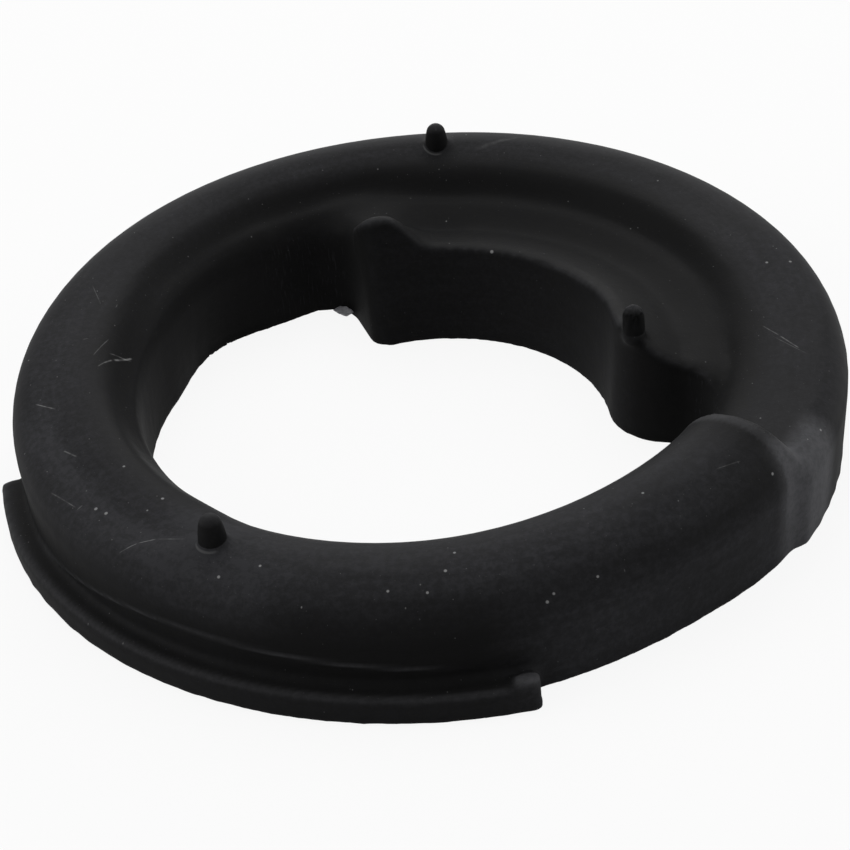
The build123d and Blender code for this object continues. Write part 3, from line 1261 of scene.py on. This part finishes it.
@dataclass(frozen=True)
class Lamp:
    """Square soft lamp: where it stands, how far off, its edge in metres and its watts."""

    side: Side
    distance: float
    size: float
    watts: float

    def hang(self) -> None:
        """Hang the lamp so that it faces the ring."""
        light = bpy.data.lights.new(f"lamp {self.side.name.lower()}", "AREA")
        light.shape = "SQUARE"
        light.size = self.size
        light.energy = self.watts
        lamp = linked(light.name, light)
        way = Vector(self.side.value).normalized()
        lamp.location = way * self.distance
        lamp.rotation_euler = way.to_track_quat("Z", "Y").to_euler()


@dataclass
class Studio:
    """Pale floor, white surround and large soft lamps."""

    floor_size: float = 6.0
    floor_white: float = 0.8
    floor_glow: float = 0.9
    fill: float = 0.3
    lamps: tuple[Lamp, ...] = (
        Lamp(Side.ABOVE, 1.1, 0.9, 5.0),
        Lamp(Side.RIGHT, 0.9, 0.6, 2.2),
        Lamp(Side.LEFT, 1.0, 0.6, 2.4),
        Lamp(Side.BACK, 1.1, 0.9, 3.5),
    )

    def build(self) -> None:
        """Set out the floor, the surround and the lamps."""
        self._floor()
        self._world()
        for lamp in self.lamps:
            lamp.hang()

    def _seen(self, shader: Shader) -> Value:
        """Mask of the rays that see the background: from the camera, off gloss and through glass.

        Args:
            shader: the floor's or the surround's shader.

        Returns:
            1 for those rays and 0 for all others.
        """
        path = shader.add("ShaderNodeLightPath", {}, {})
        kinds = ("Is Camera Ray", "Is Glossy Ray", "Is Transmission Ray")
        camera, glossy, through = (Value(shader, path.outputs[kind]) for kind in kinds)
        return camera.most(glossy).most(through)

    def _floor(self) -> None:
        """Lay the floor, which looks white to the camera and keeps the ring's shadow."""
        half = self.floor_size / 2.0
        mesh = bpy.data.meshes.new("floor")
        corners = [(-half, -half, 0.0), (half, -half, 0.0), (half, half, 0.0), (-half, half, 0.0)]
        mesh.from_pydata(corners, [], [(0, 1, 2, 3)])
        floor = linked("floor", mesh)
        shader = Shader.material("pale floor")
        matt = shader.add("ShaderNodeBsdfDiffuse", {}, {"Color": grey(self.floor_white)})
        glow = shader.add("ShaderNodeEmission", {}, {"Color": grey(1.0), "Strength": 1.0})
        mask = self._seen(shader) * self.floor_glow
        shader.finish(shader.blend(mask, matt, glow))
        mesh.materials.append(shader.owner)

    def _world(self) -> None:
        """Surround that looks white and lights the ring evenly."""
        shader = Shader.world("surround")
        bpy.context.scene.world = shader.owner
        soft = shader.add("ShaderNodeBackground", {}, {"Strength": self.fill})
        white = shader.add("ShaderNodeBackground", {}, {"Strength": 1.0})
        shader.finish(shader.blend(self._seen(shader), soft, white))


@dataclass
class PhotoCamera:
    """Camera at the photograph's viewing angle."""

    focal_px: float = 2118.6
    distance: float = 0.384023
    elevation: float = 0.60272
    roll: float = -0.10076
    target: tuple[float, float, float] = (-0.001409, 0.003402, 0.0)

    def build(self) -> bpy.types.Object:
        """Place the camera and make it the scene's.

        Returns:
            The camera object.
        """
        lens = bpy.data.cameras.new("photo camera")
        lens.sensor_width = SENSOR_MM
        lens.lens = self.focal_px / IMAGE_PX * SENSOR_MM
        lens.clip_start = 0.01
        lens.clip_end = 50.0
        aim = Vector(self.target)
        away = Vector((0.0, -math.cos(self.elevation), math.sin(self.elevation)))
        forward = -away
        right = forward.cross(Vector((0.0, 0.0, 1.0))).normalized()
        up = right.cross(forward)
        turned_right = right * math.cos(self.roll) + up * math.sin(self.roll)
        turned_up = up * math.cos(self.roll) - right * math.sin(self.roll)
        rotation = Matrix((turned_right, turned_up, away)).transposed()
        camera = linked("photo camera", lens)
        camera.matrix_world = Matrix.Translation(aim + away * self.distance) @ rotation.to_4x4()
        bpy.context.scene.camera = camera
        return camera


def main() -> None:
    """Build the ring with its nubs and flash, the studio and the camera, in that order."""
    logging.basicConfig(level=logging.INFO, format="%(message)s")
    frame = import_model()
    bpy.context.scene.view_settings.view_transform = "Standard"
    rubber = MouldedRubber().make()
    ring = MouldedRing().build(frame, rubber)
    LOG.info("ring: %d faces", len(ring.data.polygons))
    nubs = (
        Nub("nub_back", NUB_PLACES[0]),
        Nub("nub_crown", NUB_PLACES[1]),
        Nub("nub_lug", NUB_PLACES[2], foot_r=1.95, waist_r=1.85, tip_r=1.7, torn=1.0),
    )
    for nub in nubs:
        LOG.info("%s: %d faces", nub.name, len(nub.build(frame, rubber).data.polygons))
    # The fin's paler rubber is a painted glint
    flash = Flash().build(MouldedRubber(name="pale flash", worn_and_highlight=0.5).make())
    LOG.info("flash: %d faces", len(flash.data.polygons))
    Studio().build()
    LOG.info("studio: floor, surround and lamps")
    PhotoCamera().build()
    LOG.info("camera: at the photograph's angle")


if __name__ == "__main__":
    main()
